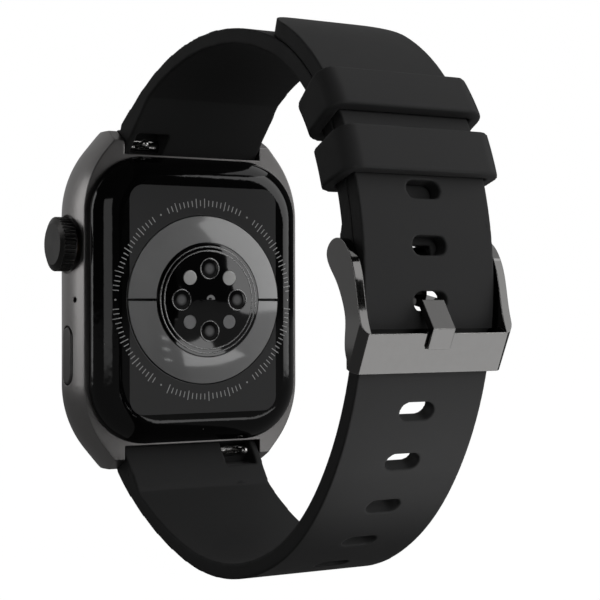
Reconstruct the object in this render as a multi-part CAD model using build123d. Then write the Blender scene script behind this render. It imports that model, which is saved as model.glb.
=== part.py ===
from build123d import *
import math
import os

# A rectangular smartwatch with its strap buckled into a loop.
# +Z points to the 12 o'clock end, the display faces -Y, and the crown is on the +X side.
# The origin is the middle of the wrist, on the axis of the loop. All sizes are in millimetres.

# ---- driving dimensions: the watch head ----
wrist_to_back = 30.0          # from the wrist's middle to the metal back face
case_half_width = 18.25
case_depth = 8.0
case_back_inset = 0.9         # how far the back edge is drawn in from the widest line
case_front_inset = 0.75
case_belly_depth = 4.8        # depth at which the case is widest
corner_start = 12.2           # height at which the straight side ends
corner_radius = 15.0
corner_turn = 40.0            # degrees turned before the straight run to the lug tip
lug_tip = 24.5
lug_gap_half = 11.1
body_end = 21.0               # end wall between the lugs
back_bevel_depth = 2.75
back_bevel_rise = 1.55
front_bevel_depth = 2.4
front_bevel_rise = 1.6
cavity_half_x = 16.2
cavity_half_z = 18.8
cavity_radius = 8.0

# ---- driving dimensions: the glass and display ----
glass_half_x = 16.8
glass_half_z = 20.2
glass_radius = 8.0
glass_thickness = 1.1
glass_proud = 0.4
glass_rounding = 0.5
glass_room = 0.1              # round the glass in its seat
gasket_thickness = 0.15
panel_half_x = 15.9
panel_half_z = 18.4
panel_thickness = 1.2
panel_radius = 7.5
panel_flex_half = 4.0
panel_flex_reach = 2.4
panel_flex_thickness = 0.1

# ---- driving dimensions: the rear cover and sensor ----
cover_half_x = 16.6
cover_half_z = 20.75
cover_radius = 8.5
cover_rise = 3.45
cover_wall = 1.2
sensor_radius = 12.15
window_radius = 8.2
window_edge_rise = 4.66
window_top_rise = 5.25
window_circle = 4.5
lens_radius = 1.0
lens_ring_radius = 1.54
contact_radius = 1.04
half_ring_gap = 0.35
half_ring_crown = 0.09
accent_radii = (7.1, 7.7)
accent_half_width = 0.09
accent_depth = 0.12
lens_ring_wall = 0.14
well_half_x = 12.9            # the cover's inner well, over the shield can and the magnets
well_half_z = 16.8
well_radius = 3.5
magnet_radius = 1.5
magnet_thickness = 0.8
magnet_places = ((4.0, 14.6), (-4.0, -14.6))

# ---- driving dimensions: inside the head ----
board_half_x = 14.6
board_half_z = 17.2
board_radius = 6.6
board_thickness = 0.8
post_x = 11.8
post_z = 14.4
post_radius = 1.4
screw_radius = 0.45
screw_head_radius = 0.9
screw_head = 0.45
screw_length = 2.2
screw_slot_half = 0.12
chassis_thickness = 0.6
side_room = 12.0              # the chassis stops here beside the crown and button switches
battery_x = (-9.3, 10.2)
battery_half_z = 12.4
battery_rounding = 0.6
can_x = (-10.6, -1.0)
can_z = (10.4, 16.2)
can_height = 0.75
can_wall = 0.15
motor_radius = 3.0
motor_x = -12.9
motor_z = 7.0
speaker_x = (-15.9, -10.3)
speaker_z = (-12.5, -2.5)
speaker_slots = (-10.5, -8.0, -5.5)
speaker_slot_depth = 3.0
speaker_slot_length = 1.9
speaker_slot_width = 0.8
mic_depth = 2.0
mic_radius = 0.4
antenna_half_x = 9.4
antenna_z = (18.35, 18.6)
sensor_board_radius = 9.5

# ---- driving dimensions: crown and button ----
crown_radius = 3.9
crown_length = 2.3
crown_z = 8.0
crown_depth = 4.5
crown_flutes = 40
stem_radius = 0.9
crown_chamfer = (0.45, 0.9)
flute_radius = 0.17
tube_radius = 1.8
tube_flange = 2.3
tube_proud = 0.6
clip_radius = 1.5
clip_groove_radius = 0.65
clip_width = 0.25
o_ring_wire = 0.22
encoder_radius = 1.5
encoder_width = 0.6
encoder_teeth = 12
plunger_radius = 0.5
switch_half_y = 1.2
switch_half_z = 1.6
press_travel = 0.4
button_z = -8.0
button_depth = 4.2
button_length = 8.3
button_width = 3.0
button_travel = 0.35
button_proud = 0.1
button_rounding = 0.35
button_flange = 0.5
nub_radius = 0.5
nub_length = 0.65
seal_width = 0.3
seal_depth = 0.2              # how far the button's seal sits below its side

# ---- driving dimensions: strap and buckle ----
strap_half_at_lugs = 10.9
strap_half_at_buckle = 9.0
strap_thickness = 2.0
layer_gap = 0.15              # between the two overlapping strap halves
lug_pin_depth = 2.9
lug_pin_z = 22.5
lug_boss_radius = 2.2
hole_width = 4.75
hole_height = 2.3
hole_pitch = 6.35
hole_pitch_growth = 0.09      # the spacing opens a little towards the watch head
holes_towards_tip = 3
holes_towards_head = 6
keeper_length = 5.6
keeper_wall = 1.6
keeper_corner = 2.2
keeper_gap = 0.2              # between a keeper and the strap layers it holds
tip_corner = 4.2
bar_tube_radius = 0.9
bar_pin_radius = 0.55
release_travel = 1.4
buckle_pin_radius = 0.75
buckle_height = 5.0
buckle_plate_top = 1.25       # thickness of the front bar at its upper edge
buckle_plate = 0.9            # and at its foot, where it clears the strap
buckle_inner_corner = 0.7
buckle_lean = 22.5            # degrees between the front bar and the strap under it
arm_thickness = 1.1
pin_cover = 0.35              # metal left over each blind end of the buckle pin
tang_width = 3.05
tang_thickness = 0.9
tang_eye_radius = 1.5
tang_slot_room = 0.15         # between the tang and the slot in the strap
notch_depth = 0.5
notch_length = 1.9
heel_depth = 1.9              # how deep the arms are at the foot of the front bar
corner_round = 1.1
lever_x = 8.1
tang_angle = -2.93            # where the tang's hole sits on the buckle's bend
free_keeper_angle = 34.9
fixed_keeper_angle = 21.4

# ---- fits ----
running_fit = 0.05
bushing_fit = 0.05
side_clearance = 0.4
seal_gap = 0.03
pocket_gap = 0.25
crown_room = 0.3
button_room = 0.15
pin_reach = 1.1               # how far the spring bar's pins go into the lugs
bar_hole_depth = 1.3
lay_gap = 0.02                # between flat pieces laid one on the other

# ---- places worked out from the dimensions ----
back = -wrist_to_back
front = back - case_depth
case_stations = (              # depth from the back face, and the inset there
    (0.0, case_back_inset),
    (2.2, 0.25),
    (case_belly_depth, 0.0),
    (case_depth, case_front_inset),
)
# each of the cover's outlines: rise above its foot, inset, and how much the corner radius shrinks
cover_stations = (
    (0.0, 0.0, 0.0),
    (0.9, 0.2, 0.2),
    (2.0, 0.95, 0.9),
    (2.8, 1.9, 1.6),
    (cover_rise - gasket_thickness, 3.6, 2.6),
)
lug_pin_y = back - lug_pin_depth
crown_y = back - crown_depth
button_y = back - button_depth
glass_back = front - glass_proud + glass_thickness
seat_back = glass_back + gasket_thickness
panel_back = glass_back + panel_thickness
board_front = back - 0.5
board_back = board_front + board_thickness
chassis_front = panel_back + 0.15
chassis_back = chassis_front + chassis_thickness

# the sensor stack, from the board up to the window
sensor_board_top = back + 1.8
housing_floor = back + 2.3
housing_top = back + 2.9
boss_top = back + 3.6
lens_low = boss_top + lay_gap

# the crown, from the switch out to the knob
crown_seat = case_half_width - 0.65
knob_inner = case_half_width - 0.15
knob_outer = knob_inner + crown_length
tube_inner = cavity_half_x
tube_outer = crown_seat + tube_proud
hollow_end = tube_outer + 0.8
stem_tip = 14.55
stem_end = knob_outer - 0.7
clip_span = (tube_inner - 0.1 - clip_width, tube_inner - 0.1)
o_ring_x = (tube_inner + tube_outer) / 2
o_ring_inner = stem_radius + seal_gap
switch_back = side_room + 0.3
crown_switch_face = stem_tip - running_fit - press_travel - 0.2

# the button, from its switch out to its face
flange_outer = cavity_half_x - 0.3
flange_inner = flange_outer - button_flange
button_face = case_half_width + button_proud
nub_end = flange_inner - nub_length
switch_face = nub_end - button_travel - running_fit
seal_x = (cavity_half_x + 0.9, cavity_half_x + 0.9 + seal_width)

# the strap and the buckle, across
under = strap_thickness + layer_gap
keeper_half = strap_half_at_buckle + 0.3
tube_half = lug_gap_half - 0.5
tang_slot_half = tang_width / 2 + tang_slot_room
buckle_half = strap_half_at_buckle + side_clearance + arm_thickness
buckle_pin_half = buckle_half - pin_cover
loop_radius = buckle_pin_radius + running_fit + 0.9
tang_proud = tang_thickness - notch_depth + running_fit
os.makedirs("parts", exist_ok=True)


def save(name, shape):
    export_step(shape, f"parts/{name}.step")


def block(x, y, z):
    """A box from its low and high values along each axis."""
    size = [high - low for low, high in (x, y, z)]
    middle = [(high + low) / 2 for low, high in (x, y, z)]
    return Pos(*middle) * Box(*size)


def rod_x(radius, x, y, z):
    """A round rod along X between two x values."""
    return Pos((x[0] + x[1]) / 2, y, z) * Rot(0, 90, 0) * Cylinder(radius, x[1] - x[0])


def rod_y(radius, x, y, z):
    """A round rod along Y between two y values."""
    return Pos(x, (y[0] + y[1]) / 2, z) * Rot(90, 0, 0) * Cylinder(radius, y[1] - y[0])


def slab(face, y):
    """A flat outline in X and Z made solid between two y values."""
    return extrude(Plane.XZ.offset(-y[1]) * face, y[1] - y[0])


def rounded(half_x, half_z, radius):
    return RectangleRounded(2 * half_x, 2 * half_z, radius)


def cut_side(face, x):
    """A side outline in Y and Z made solid between two x values."""
    return extrude(Plane.YZ.offset(x[0]) * face, x[1] - x[0])


def pill_x(length, width, x, y, z):
    """A slot shape that runs along Z, made solid between two x values."""
    face = Pos(y, z) * Rot(0, 0, 90) * SlotOverall(length, width)
    return cut_side(face, x)


def coil_x(radius, wire, x, y, z, turns):
    """A coil spring along X between two x values."""
    length = x[1] - x[0] - 2 * wire
    path = Plane(origin=(x[0] + wire, y, z), z_dir=(1, 0, 0)) * Helix(length / turns, length, radius)
    start = Plane(origin=path @ 0, z_dir=path % 0)
    return sweep(start * Circle(wire), path)


# ---- watch head outline ----
def case_outline(inset, tip):
    """The head seen from the front, drawn in evenly by the inset."""
    turn = math.radians(corner_turn)
    centre_x = case_half_width - corner_radius
    radius = corner_radius - inset
    side_x = case_half_width - inset
    bend_x = centre_x + radius * math.cos(turn)
    bend_z = corner_start + radius * math.sin(turn)
    tip_x = bend_x - (tip - bend_z) * math.tan(turn)
    arc_x = centre_x + radius * math.cos(turn / 2)
    arc_z = corner_start + radius * math.sin(turn / 2)
    edges = []
    for sx, sz in ((1, 1), (-1, 1), (-1, -1), (1, -1)):
        side = (sx * side_x, sz * corner_start)
        arc = (sx * arc_x, sz * arc_z)
        bend = (sx * bend_x, sz * bend_z)
        corner = (sx * tip_x, sz * tip)
        edges.append(ThreePointArc(side, arc, bend))
        edges.append(Line(bend, corner))
    edges.append(Line((tip_x, tip), (-tip_x, tip)))
    edges.append(Line((-tip_x, -tip), (tip_x, -tip)))
    for sx in (1, -1):
        edges.append(Line((sx * side_x, corner_start), (sx * side_x, -corner_start)))
    return make_face(edges)


def bevel(face, inward, depth, rise):
    """The side outline of the slope cut on a lug's end, reaching 1 mm past the face it starts from."""
    return make_face(Polyline(
        (face - inward, lug_tip - rise - rise / depth),
        (face + inward * depth, lug_tip),
        (face + inward * depth, lug_tip + 1),
        (face - inward, lug_tip + 1),
        close=True,
    ))


def make_case():
    sections = []
    for depth, inset in case_stations:
        sections.append(Plane.XZ.offset(-back + depth) * case_outline(inset, lug_tip))
    body = loft(sections)
    for side in (1, -1):
        gap = block((-lug_gap_half, lug_gap_half), (front - 1, back + 1), (body_end, lug_tip + 1))
        pocket = rod_x(lug_boss_radius + pocket_gap, (-lug_gap_half, lug_gap_half), lug_pin_y, lug_pin_z)
        back_bevel = bevel(back, -1, back_bevel_depth, back_bevel_rise)
        front_bevel = bevel(front, 1, front_bevel_depth, front_bevel_rise)
        wide = (-case_half_width, case_half_width)
        for tool in (gap, pocket, cut_side(back_bevel, wide), cut_side(front_bevel, wide)):
            body -= tool if side > 0 else mirror(tool, Plane.XY)
    body -= slab(rounded(cavity_half_x, cavity_half_z, cavity_radius), (front - 1, back + 1))
    seat = rounded(glass_half_x + glass_room, glass_half_z + glass_room, glass_radius + glass_room)
    body -= slab(seat, (front - 1, seat_back))
    for side in (1, -1):
        for x in (1, -1):
            reach = sorted((x * (lug_gap_half - 0.1), x * (lug_gap_half + bar_hole_depth)))
            body -= rod_x(bar_pin_radius + running_fit, reach, lug_pin_y, side * lug_pin_z)
    through = (cavity_half_x - 1, case_half_width + 1)
    body -= rod_x(crown_radius + crown_room, (crown_seat, case_half_width + 1), crown_y, crown_z)
    body -= rod_x(tube_radius, (cavity_half_x - 1, case_half_width), crown_y, crown_z)
    opening = (button_length + 2 * button_room, button_width + 2 * button_room)
    body -= pill_x(*opening, through, button_y, button_z)
    body -= rod_x(mic_radius, through, back - mic_depth, 0)
    for z in speaker_slots:
        slot_x = (-case_half_width - 1, -cavity_half_x + 1)
        body -= pill_x(speaker_slot_length, speaker_slot_width, slot_x, back - speaker_slot_depth, z)
    return body


# ---- display stack ----
def make_glass():
    glass = slab(rounded(glass_half_x, glass_half_z, glass_radius), (front - glass_proud, glass_back))
    outer_edges = glass.faces().sort_by(Axis.Y)[0].edges()
    return fillet(outer_edges, glass_rounding)


def make_gasket():
    ring = rounded(glass_half_x, glass_half_z, glass_radius)
    ring -= rounded(cavity_half_x + running_fit, cavity_half_z + running_fit, cavity_radius)
    return slab(ring, (glass_back, seat_back))


def make_panel():
    return slab(rounded(panel_half_x, panel_half_z, panel_radius), (glass_back, panel_back))


def make_display_flex():
    thickness = panel_flex_thickness
    reach = -cavity_half_z + 0.2
    foot = reach + panel_flex_reach
    y_panel = panel_back + lay_gap
    y_board = board_front - 0.22
    face = make_face(Polyline(
        (y_panel, foot), (y_panel, reach), (y_board, reach), (y_board, foot),
        (y_board - thickness, foot), (y_board - thickness, reach + thickness),
        (y_panel + thickness, reach + thickness), (y_panel + thickness, foot),
        close=True,
    ))
    plug_half = panel_flex_half - 0.5
    plug = block((-plug_half, plug_half), (y_board, board_front - lay_gap), (foot - 1.0, foot))
    return cut_side(face, (-panel_flex_half, panel_flex_half)) + plug


# ---- inside the head ----
def posts():
    return [(sx * post_x, sz * post_z) for sx in (1, -1) for sz in (1, -1)]


def make_chassis():
    outline = rounded(cavity_half_x - 0.2, cavity_half_z - 0.5, cavity_radius)
    plate = slab(outline, (chassis_front, chassis_back))
    plate -= block((side_room, case_half_width), (front, back), (-13.5, 11.0))
    for x, z in posts():
        plate += rod_y(post_radius, x, (chassis_back, board_front), z)
    for x, z in posts():
        plate -= rod_y(screw_radius, x, (chassis_back + 1, board_front), z)
    return plate


def make_board():
    board = slab(rounded(board_half_x, board_half_z, board_radius), (board_front, board_back))
    for x, z in posts():
        board -= rod_y(screw_radius + 0.1, x, (board_front - 1, board_back + 1), z)
    return board


def make_screws():
    screws = []
    for x, z in posts():
        shank = rod_y(screw_radius, x, (board_front - screw_length, board_back), z)
        head = rod_y(screw_head_radius, x, (board_back, board_back + screw_head), z)
        recess_y = (board_back + screw_head - 0.2, board_back + 1)
        long_half = screw_head_radius - 0.2
        slot = block((x - long_half, x + long_half), recess_y, (z - screw_slot_half, z + screw_slot_half))
        cross = block((x - screw_slot_half, x + screw_slot_half), recess_y, (z - long_half, z + long_half))
        screws.append(shank + head - slot - cross)
    return Compound(screws)


def make_shield():
    can = block(can_x, (board_back, board_back + can_height), can_z)
    inner_x = (can_x[0] + can_wall, can_x[1] - can_wall)
    inner_z = (can_z[0] + can_wall, can_z[1] - can_wall)
    return can - block(inner_x, (board_back - 1, board_back + can_height - can_wall), inner_z)


def make_processor():
    return block((-9.0, -3.0), (board_back, board_back + 0.5), (10.8, 15.8))


def make_battery():
    y = (chassis_back + 0.1, board_front - 0.2)
    cell = block(battery_x, y, (-battery_half_z, battery_half_z))
    return fillet(cell.edges(), battery_rounding)


def make_motor():
    drum = rod_y(motor_radius, motor_x, (back - 4.2, back - 1.6), motor_z)
    return drum - rod_y(0.5, motor_x, (back - 1.8, back - 1.0), motor_z)


def make_speaker():
    body = block(speaker_x, (back - 4.9, back - 1.2), speaker_z)
    return fillet(body.edges().filter_by(Axis.X), 0.5)


def make_speaker_mesh():
    mesh_x = (speaker_x[0] - running_fit - 0.2, speaker_x[0] - running_fit)
    return block(mesh_x, (back - 3.8, back - 2.2), (speaker_z[0] + 0.5, speaker_z[1] - 1.5))


def make_microphone():
    return block((14.9, cavity_half_x - running_fit), (back - 3.2, back - 0.9), (-1.6, 1.6))


def make_antenna():
    strip = block((-antenna_half_x, antenna_half_x), (back - 4.6, back - 1.4), antenna_z)
    return strip - block((-7.5, 7.5), (back - 3.3, back - 2.7), (antenna_z[0] - 1, antenna_z[1] + 1))


# ---- rear cover ----
def make_cover():
    base = back + gasket_thickness
    faces = []
    for rise, inset, tighter in cover_stations:
        outline = rounded(cover_half_x - inset, cover_half_z - inset, cover_radius - tighter)
        faces.append(Plane.XZ.offset(-base - rise) * outline)
    cover = loft(faces)
    step = rounded(cavity_half_x - 0.1, cavity_half_z - 0.1, cavity_radius)
    cover += slab(step, (back - 0.65, base))
    hollow = rounded(board_half_x + 0.3, board_half_z + 0.3, board_radius + 0.3)
    cover -= slab(hollow, (back - 1, base + 0.6))
    well = rounded(well_half_x, well_half_z, well_radius)
    cover -= slab(well, (back - 1, back + cover_rise - cover_wall))
    return cover - rod_y(sensor_radius + 0.15, 0, (back, back + cover_rise + 1), 0)


def make_rear_gasket():
    ring = rounded(cover_half_x - 0.1, cover_half_z - 0.1, cover_radius - 0.1)
    ring -= rounded(cavity_half_x, cavity_half_z, cavity_radius)
    return slab(ring, (back, back + gasket_thickness))


# ---- sensor ----
def turned(points, arc_middle):
    """A turned piece about Y from its half section; the last edge is the crowned top."""
    edges = [Line(a, b) for a, b in zip(points, points[1:])]
    edges.append(ThreePointArc(points[-1], arc_middle, points[0]))
    return revolve(make_face(edges), Axis.Y)


def around(radius, angles):
    return [(radius * math.cos(math.radians(a)), radius * math.sin(math.radians(a))) for a in angles]


lens_places = around(window_circle, (0, 90, 180, 270))
contact_places = around(window_circle, (45, 135))
led_places = around(window_circle, (225, 315))


def make_housing():
    plate = rod_y(sensor_radius, 0, (housing_floor, housing_top), 0)
    plate += rod_y(window_radius - 0.1, 0, (housing_top, boss_top), 0)
    for x, z in lens_places + led_places:
        plate -= rod_y(lens_radius - 0.2, x, (back, boss_top + 1), z)
    for x, z in contact_places:
        plate -= rod_y(contact_radius + running_fit, x, (back, boss_top + 1), z)
    return plate


def make_half_rings():
    inner = window_radius + 0.1
    edge = back + 3.55
    ridge = back + window_edge_rise - 0.06
    middle = ((inner + sensor_radius) / 2, (edge + ridge) / 2 + half_ring_crown)
    section = [(sensor_radius, edge), (sensor_radius, housing_top), (inner, housing_top), (inner, ridge)]
    ring = turned(section, middle)
    upper = ring & block((-20, 20), (back, back + 9), (half_ring_gap / 2, 20))
    lower = ring & block((-20, 20), (back, back + 9), (-20, -half_ring_gap / 2))
    return upper, lower


def dome_rise(radius):
    """Height of the window's crowned top above the back face at a radius."""
    drop = window_top_rise - window_edge_rise
    sphere = (window_radius ** 2 + drop ** 2) / (2 * drop)
    return window_top_rise - sphere + math.sqrt(sphere ** 2 - radius ** 2)


lens_top = back + dome_rise(window_circle) - lay_gap


def make_window():
    edge = back + window_edge_rise
    top = back + window_top_rise
    middle = (window_radius / 2, back + dome_rise(window_radius / 2))
    window = turned([(0, top), (0, lens_low), (window_radius, lens_low), (window_radius, edge)], middle)
    for x, z in lens_places:
        window -= rod_y(lens_ring_radius, x, (back, back + 9), z)
    for x, z in led_places:
        window -= rod_y(lens_radius, x, (back, back + 9), z)
    for x, z in contact_places:
        window -= rod_y(contact_radius + seal_gap, x, (back, back + 9), z)
    for radius in accent_radii:
        window -= accent_ring(radius, (back + dome_rise(radius) - accent_depth, back + 9))
    return window


def accent_ring(radius, y):
    ring = rod_y(radius + accent_half_width, 0, y, 0)
    return ring - rod_y(radius - accent_half_width, 0, y, 0)


def make_accents():
    rings = []
    for radius in accent_radii:
        top = back + dome_rise(radius)
        rings.append(accent_ring(radius, (top - accent_depth, top + 0.01)))
    return Compound(rings)


def make_lens_rings():
    y = (lens_low, lens_top + 0.04)
    rings = []
    for x, z in lens_places:
        rings.append(rod_y(lens_ring_radius, x, y, z) - rod_y(lens_ring_radius - lens_ring_wall, x, y, z))
    return Compound(rings)


def make_lenses():
    lenses = []
    for x, z in lens_places:
        flange = rod_y(lens_ring_radius - lens_ring_wall, x, (lens_low, lens_top - 0.25), z)
        lenses.append(flange + rod_y(lens_radius, x, (lens_top - 0.25, lens_top - 0.05), z))
    return Compound(lenses)


def make_led_windows():
    return Compound([rod_y(lens_radius, x, (lens_low, lens_top), z) for x, z in led_places])


def make_contacts():
    pins = []
    for x, z in contact_places:
        pins.append(rod_y(contact_radius, x, (sensor_board_top, lens_top + 0.06), z))
    return Compound(pins)


def make_sensor_board():
    return rod_y(sensor_board_radius, 0, (sensor_board_top - 0.6, sensor_board_top), 0)


def make_photodiodes():
    y = (sensor_board_top, sensor_board_top + 0.4)
    return Compound([block((x - 0.8, x + 0.8), y, (z - 0.8, z + 0.8)) for x, z in lens_places])


def make_leds():
    y = (sensor_board_top, sensor_board_top + 0.4)
    return Compound([block((x - 0.6, x + 0.6), y, (z - 0.4, z + 0.4)) for x, z in led_places])


def make_magnets():
    ceiling = back + cover_rise - cover_wall
    y = (ceiling - magnet_thickness, ceiling)
    return Compound([rod_y(magnet_radius, x, y, z) for x, z in magnet_places])


# ---- crown ----
def make_knob():
    knob = rod_x(crown_radius, (knob_inner, knob_outer), crown_y, crown_z)
    knob = chamfer(knob.edges().filter_by(GeomType.CIRCLE).sort_by(Axis.X)[-1], *crown_chamfer)
    for i in range(crown_flutes):
        angle = 2 * math.pi * i / crown_flutes
        y = crown_y + (crown_radius + lay_gap) * math.cos(angle)
        z = crown_z + (crown_radius + lay_gap) * math.sin(angle)
        knob -= rod_x(flute_radius, (knob_inner + 0.15, knob_outer - 0.3), y, z)
    knob -= rod_x(tube_flange + 0.4, (knob_inner - 1, hollow_end), crown_y, crown_z)
    return knob - rod_x(stem_radius, (hollow_end - 1, stem_end), crown_y, crown_z)


def make_stem():
    stem = rod_x(stem_radius, (stem_tip, stem_end), crown_y, crown_z)
    groove = rod_x(stem_radius + 1, clip_span, crown_y, crown_z)
    return stem - (groove - rod_x(clip_groove_radius, clip_span, crown_y, crown_z))


def make_clip():
    ring = rod_x(clip_radius, clip_span, crown_y, crown_z)
    ring -= rod_x(clip_groove_radius, clip_span, crown_y, crown_z)
    mouth_half = stem_radius / 2
    mouth_x = (clip_span[0] - 1, clip_span[1] + 1)
    return ring - block(mouth_x, (crown_y - mouth_half, crown_y + mouth_half), (crown_z, crown_z + 3))


def make_tube():
    tube = rod_x(tube_radius, (tube_inner, tube_outer), crown_y, crown_z)
    tube += rod_x(tube_flange, (crown_seat, tube_outer), crown_y, crown_z)
    tube -= rod_x(stem_radius + bushing_fit, (tube_inner - 1, tube_outer + 1), crown_y, crown_z)
    groove = (o_ring_x - o_ring_wire - seal_gap, o_ring_x + o_ring_wire + seal_gap)
    return tube - rod_x(o_ring_inner + 2 * o_ring_wire + seal_gap, groove, crown_y, crown_z)


def make_o_ring():
    ring = Torus(o_ring_inner + o_ring_wire, o_ring_wire)
    return Pos(o_ring_x, crown_y, crown_z) * Rot(0, 90, 0) * ring


def make_encoder():
    x = (stem_tip + 0.25, stem_tip + 0.25 + encoder_width)
    wheel = rod_x(encoder_radius, x, crown_y, crown_z) - rod_x(stem_radius, x, crown_y, crown_z)
    for i in range(encoder_teeth):
        angle = 2 * math.pi * i / encoder_teeth
        y = crown_y + encoder_radius * math.cos(angle)
        z = crown_z + encoder_radius * math.sin(angle)
        wheel -= rod_x(0.2, (x[0] - 1, x[1] + 1), y, z)
    return wheel


def make_plunger():
    return rod_x(plunger_radius, (crown_switch_face - 0.3, stem_tip - running_fit), crown_y, crown_z)


def switch_block(x, y, z):
    """A small switch that stands on the key flex, centred at a height and a depth."""
    return block(x, (y - switch_half_y, y + switch_half_y), (z - switch_half_z, z + switch_half_z))


def make_crown_switch():
    body = switch_block((switch_back, crown_switch_face), crown_y, crown_z)
    well = (crown_switch_face - 1, crown_switch_face + 1)
    return body - rod_x(plunger_radius + running_fit, well, crown_y, crown_z)


# ---- side button ----
def make_button():
    cap = pill_x(button_length, button_width, (flange_outer, button_face), button_y, button_z)
    cap = fillet(cap.faces().sort_by(Axis.X)[-1].edges(), button_rounding)
    cap += pill_x(button_length + 0.9, button_width + 0.7, (flange_inner, flange_outer), button_y, button_z)
    cap += rod_x(nub_radius, (nub_end, flange_inner), button_y, button_z)
    return cap - seal_ring(0.5)


def make_button_seal():
    return seal_ring(0.1)


def seal_ring(reach):
    """The ring between the bottom of the button's seal groove and a reach past the button's side."""
    outer = pill_x(button_length + 2 * reach, button_width + 2 * reach, seal_x, button_y, button_z)
    depth = 2 * seal_depth
    return outer - pill_x(button_length - depth, button_width - depth, seal_x, button_y, button_z)


def make_button_switch():
    return switch_block((switch_back, switch_face), button_y, button_z)


def make_button_spring():
    x = (switch_face + lay_gap, flange_inner - lay_gap)
    return coil_x(0.85, 0.12, x, button_y, button_z, 3)


def make_key_flex():
    strip = block((side_room + 0.05, switch_back - 0.05), (crown_y - 1.2, crown_y + 1.6), (-12.5, 10.2))
    return strip - block((side_room - 1, switch_back + 1), (crown_y + 0.6, crown_y + 3), (-4.5, 4.5))


# ---- strap paths, in Y and Z, run from the lower lug round to the tip ----
hole_side_start = (lug_pin_y - 0.32, -lug_pin_z - 2.4)
hole_side_heading = -39.1
hole_side_bends = [(52.65, 24.94), (32.74, 65.17), (40.71, 64.88), (30.14, 47.18)]
buckle_side_start = (lug_pin_y + 1.1, lug_pin_z + 2.89)
buckle_side_heading = 32.65
buckle_side_straight = 6.2


def bend_run(start, heading, bends):
    """Tangent arcs as (centre, radius, start angle, sweep), all turning left."""
    arcs = []
    y, z = start
    angle = heading - 90
    for radius, turn in bends:
        centre = (y - radius * math.cos(math.radians(angle)), z - radius * math.sin(math.radians(angle)))
        arcs.append((centre, radius, angle, turn))
        angle += turn
        y = centre[0] + radius * math.cos(math.radians(angle))
        z = centre[1] + radius * math.sin(math.radians(angle))
    return arcs


def polar(centre, radius, angle):
    turn = math.radians(angle)
    return centre[0] + radius * math.cos(turn), centre[1] + radius * math.sin(turn)


def band(arcs, thickness, extra=None):
    """A side outline between a run of arcs and the same run moved inward."""
    edges = []
    for centre, radius, start, sweep in arcs:
        edges.append(CenterArc(centre, radius, start, sweep))
        edges.append(CenterArc(centre, radius - thickness, start, sweep))
    first, last = arcs[0], arcs[-1]
    edges.append(Line(polar(first[0], first[1], first[2]), polar(first[0], first[1] - thickness, first[2])))
    end = last[2] + last[3]
    outer_end = polar(last[0], last[1], end)
    inner_end = polar(last[0], last[1] - thickness, end)
    if extra is None:
        edges.append(Line(outer_end, inner_end))
    else:
        dy, dz = extra
        outer_far = (outer_end[0] + dy, outer_end[1] + dz)
        inner_far = (inner_end[0] + dy, inner_end[1] + dz)
        edges += [Line(outer_end, outer_far), Line(outer_far, inner_far), Line(inner_far, inner_end)]
    return make_face(edges)


hole_side = bend_run(hole_side_start, hole_side_heading, hole_side_bends)
buckle_bend = hole_side[2]
tip_bend = hole_side[3]
# The tang hole sits on the third bend; the buckle is laid out from it.
buckle_origin = polar(buckle_bend[0], buckle_bend[1], tang_angle)
outward = (math.cos(math.radians(tang_angle)), math.sin(math.radians(tang_angle)))


def by_hole(along, out):
    """A point by its distance along the strap to the tip, and outward, from the tang hole."""
    return (
        buckle_origin[0] - along * outward[1] + out * outward[0],
        buckle_origin[1] + along * outward[0] + out * outward[1],
    )


pin_along = 4.6
pin_out = -(under + 0.26 + loop_radius + 0.2)
pin_y, pin_z = by_hole(pin_along, pin_out)


def straight_join():
    """The bend that joins the strap's straight start at the upper lug to the bend under the tip."""
    heading = math.radians(buckle_side_heading)
    y = buckle_side_start[0] + buckle_side_straight * math.cos(heading)
    z = buckle_side_start[1] + buckle_side_straight * math.sin(heading)
    inner = tip_bend[1] - under
    dy, dz = y - tip_bend[0][0], z - tip_bend[0][1]
    ny, nz = math.sin(heading), -math.cos(heading)
    radius = (inner ** 2 - dy ** 2 - dz ** 2) / (2 * (dy * ny + dz * nz + inner))
    centre = (y + radius * ny, z + radius * nz)
    joint = math.degrees(math.atan2(tip_bend[0][1] - centre[1], tip_bend[0][0] - centre[0]))
    return centre, radius, joint


join_centre, join_radius, join_angle = straight_join()
pin_angle = math.degrees(math.atan2(pin_z - buckle_bend[0][1], pin_y - buckle_bend[0][0]))
buckle_side = [
    (buckle_bend[0], buckle_bend[1] - under, pin_angle, tip_bend[2] - pin_angle),
    (tip_bend[0], tip_bend[1] - under, tip_bend[2], join_angle - tip_bend[2]),
    (join_centre, join_radius, join_angle, buckle_side_heading + 90 - join_angle),
]


def taper(shape):
    """Narrow a strap half from its width at the lugs to its width at the buckle."""
    start, end = back - 1, back + 42
    far = back + 80
    near = back - 12
    outline = [
        (strap_half_at_lugs, near), (strap_half_at_lugs, start), (strap_half_at_buckle, end),
        (strap_half_at_buckle, far), (-strap_half_at_buckle, far), (-strap_half_at_buckle, end),
        (-strap_half_at_lugs, start), (-strap_half_at_lugs, near),
    ]
    plan = make_face(Polyline(*outline, close=True))
    return shape & extrude(plan, 60, both=True)


def on_strap(distance):
    """Centre, radius and angle on the hole side at a distance from the tang hole towards the lug."""
    angle = tang_angle - math.degrees(distance / buckle_bend[1])
    if angle >= buckle_bend[2] and angle <= tip_bend[2]:
        return buckle_bend[0], buckle_bend[1], angle
    if angle > tip_bend[2]:
        past = math.radians(angle - tip_bend[2]) * buckle_bend[1]
        return tip_bend[0], tip_bend[1], tip_bend[2] + math.degrees(past / tip_bend[1])
    lower = hole_side[1]
    past = math.radians(buckle_bend[2] - angle) * buckle_bend[1]
    return lower[0], lower[1], buckle_bend[2] - math.degrees(past / lower[1])


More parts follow.
